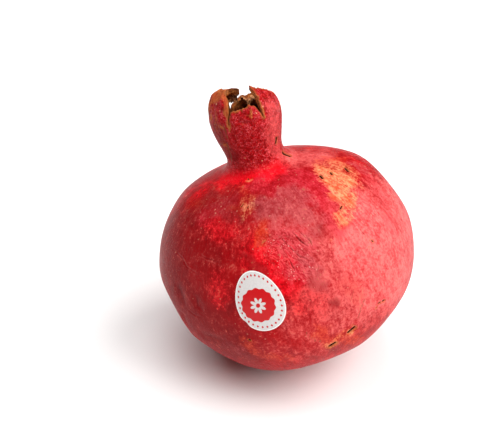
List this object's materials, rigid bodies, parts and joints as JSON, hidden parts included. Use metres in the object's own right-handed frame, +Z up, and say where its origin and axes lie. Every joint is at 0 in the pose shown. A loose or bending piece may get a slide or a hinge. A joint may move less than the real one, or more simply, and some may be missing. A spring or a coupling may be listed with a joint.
{
  "type": "pomegranate",
  "caption": "Whole pomegranate with a leathery rind, a short neck and a hollow calyx crown with stamens, resting on a small flat spot, with a paper label on its side.",
  "frame": {"origin": "middle of the flat spot that the fruit rests on", "axes": "+Z up from the resting surface; -Y towards the side with the label; the fruit leans towards -X"},
  "size_m": [0.1045, 0.1064, 0.1192],
  "materials": {
    "rind": "waxy, mottled red skin",
    "label": "smooth coated white paper with a red print"
  },
  "bodies": {
    "root": {"pomegranate": "rind", "label": "label"}
  },
  "joints": []
}
